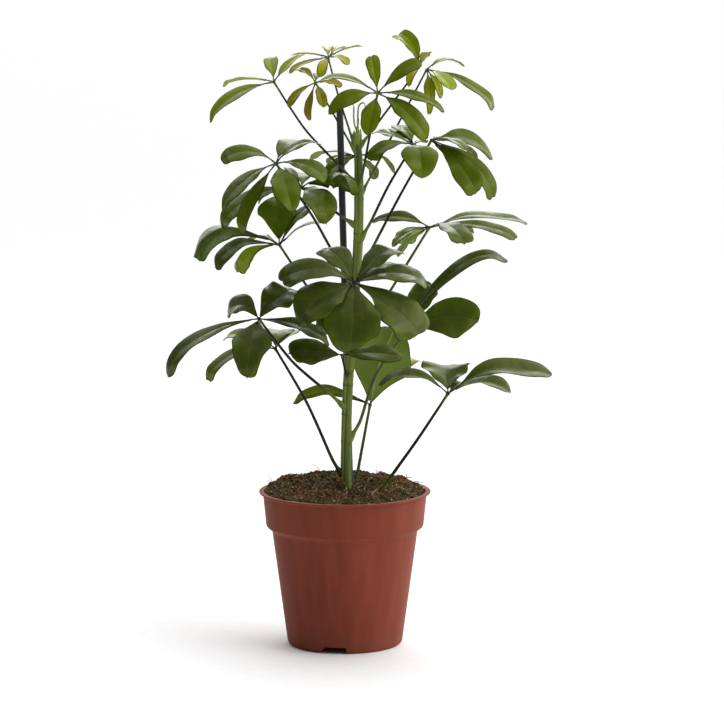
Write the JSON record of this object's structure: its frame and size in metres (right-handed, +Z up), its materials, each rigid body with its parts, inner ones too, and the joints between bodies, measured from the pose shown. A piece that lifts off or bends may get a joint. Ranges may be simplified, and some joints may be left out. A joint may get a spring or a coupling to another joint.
{
  "type": "potted umbrella plant",
  "caption": "Umbrella plant with fans of leathery leaflets on long stalks, growing up one stem beside a support stake from the soil of a round tapered nursery pot.",
  "frame": {"origin": "centre of the pot's base, on the surface it stands on", "axes": "+Z up along the pot's axis, -Y towards the front the plant is usually seen from, +X to that view's right"},
  "size_m": [0.3792, 0.1897, 0.6052],
  "materials": {
    "pot_plastic": "satin",
    "potting_soil": "matte",
    "stem_green": "satin",
    "stake_plastic": "satin",
    "leaf_stalk_green": "satin",
    "leaf_green": "satin",
    "young_shoot_green": "satin"
  },
  "bodies": {
    "root": {"pot": "pot_plastic", "soil": "potting_soil", "stem": "stem_green", "stake": "stake_plastic", "growing_tip": "young_shoot_green", "leaf_01_stalk": "leaf_stalk_green", "leaf_01_leaflets": "leaf_green", "leaf_02_stalk": "leaf_stalk_green", "leaf_02_leaflets": "leaf_green", "leaf_03_stalk": "leaf_stalk_green", "leaf_03_leaflets": "leaf_green", "leaf_04_stalk": "leaf_stalk_green", "leaf_04_leaflets": "leaf_green", "leaf_05_stalk": "leaf_stalk_green", "leaf_05_leaflets": "leaf_green", "leaf_06_stalk": "leaf_stalk_green", "leaf_06_leaflets": "leaf_green", "leaf_07_stalk": "leaf_stalk_green", "leaf_07_leaflets": "leaf_green", "leaf_08_stalk": "leaf_stalk_green", "leaf_08_leaflets": "leaf_green", "leaf_09_stalk": "leaf_stalk_green", "leaf_09_leaflets": "leaf_green", "leaf_10_stalk": "leaf_stalk_green", "leaf_10_leaflets": "leaf_green", "leaf_11_stalk": "leaf_stalk_green", "leaf_11_leaflets": "leaf_green", "leaf_12_stalk": "leaf_stalk_green", "leaf_12_leaflets": "leaf_green", "leaf_13_stalk": "leaf_stalk_green", "leaf_13_leaflets": "leaf_green", "leaf_14_stalk": "leaf_stalk_green", "leaf_14_leaflets": "leaf_green", "leaf_15_stalk": "leaf_stalk_green", "leaf_15_leaflets": "leaf_green", "leaf_16_stalk": "leaf_stalk_green", "leaf_16_leaflets": "leaf_green", "leaf_17_stalk": "leaf_stalk_green", "leaf_17_leaflets": "leaf_green", "leaf_18_stalk": "leaf_stalk_green", "leaf_18_leaflets": "leaf_green", "leaf_19_stalk": "leaf_stalk_green", "leaf_19_leaflets": "leaf_green", "leaf_20_stalk": "leaf_stalk_green", "leaf_20_leaflets": "leaf_green"}
  },
  "joints": []
}
